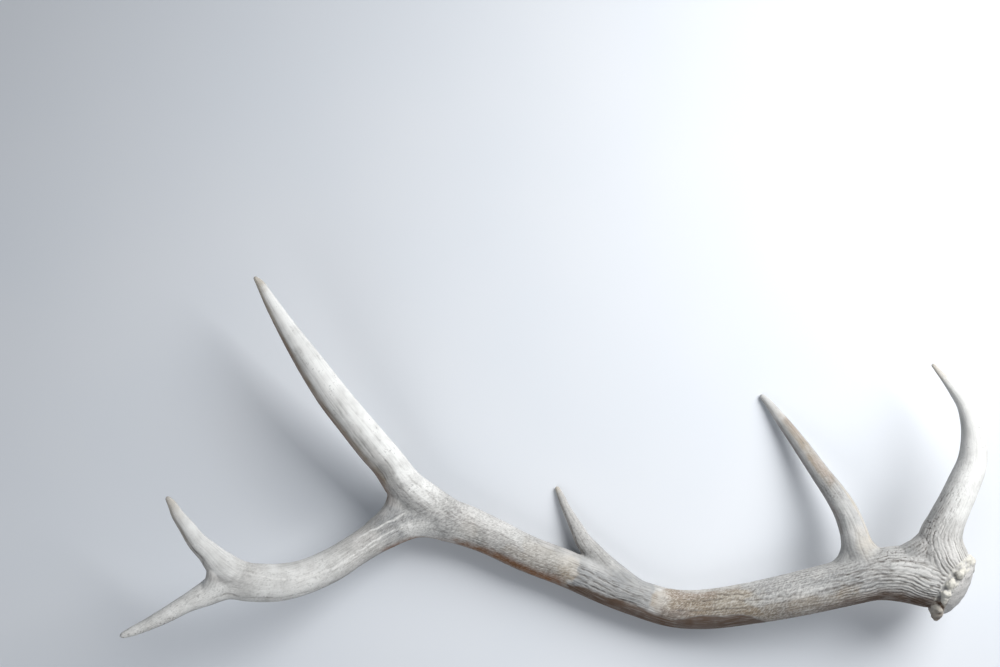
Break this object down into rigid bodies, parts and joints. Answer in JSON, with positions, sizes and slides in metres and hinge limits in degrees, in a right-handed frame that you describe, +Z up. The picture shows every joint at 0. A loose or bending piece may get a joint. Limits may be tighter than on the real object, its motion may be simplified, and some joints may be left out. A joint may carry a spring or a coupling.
{
  "type": "elk antler",
  "caption": "Weathered cast deer antler of the elk kind: knobbly burr, long curved grey beam and tapering pale tines, lying on its outer side.",
  "frame": {"origin": "on the surface that the antler lies on, under the middle of its bounding box", "axes": "+X towards the burr, along the antler's length; +Y the way the tines point; +Z up, out of the side that faced the other antler"},
  "size_m": [1.0035, 0.4318, 0.1897],
  "materials": {
    "ridged_bone": "rough, weathered",
    "brow_bone": "worn, weathered",
    "bez_bone": "worn, weathered",
    "tan_bone": "rough, weathered",
    "trez_bone": "worn, weathered",
    "stained_bone": "rough, weathered",
    "royal_bone": "worn, weathered",
    "pale_bone": "rough, weathered",
    "surroyal_bone": "worn, weathered",
    "pitted_bone": "rough, pitted"
  },
  "bodies": {
    "root": {"beam_base": "ridged_bone", "brow_tine": "brow_bone", "bez_tine": "bez_bone", "beam_lower": "tan_bone", "trez_tine": "trez_bone", "beam_middle": "stained_bone", "royal_tine": "royal_bone", "beam_upper": "pale_bone", "surroyal_tine": "surroyal_bone", "beam_point": "pitted_bone"}
  },
  "joints": []
}
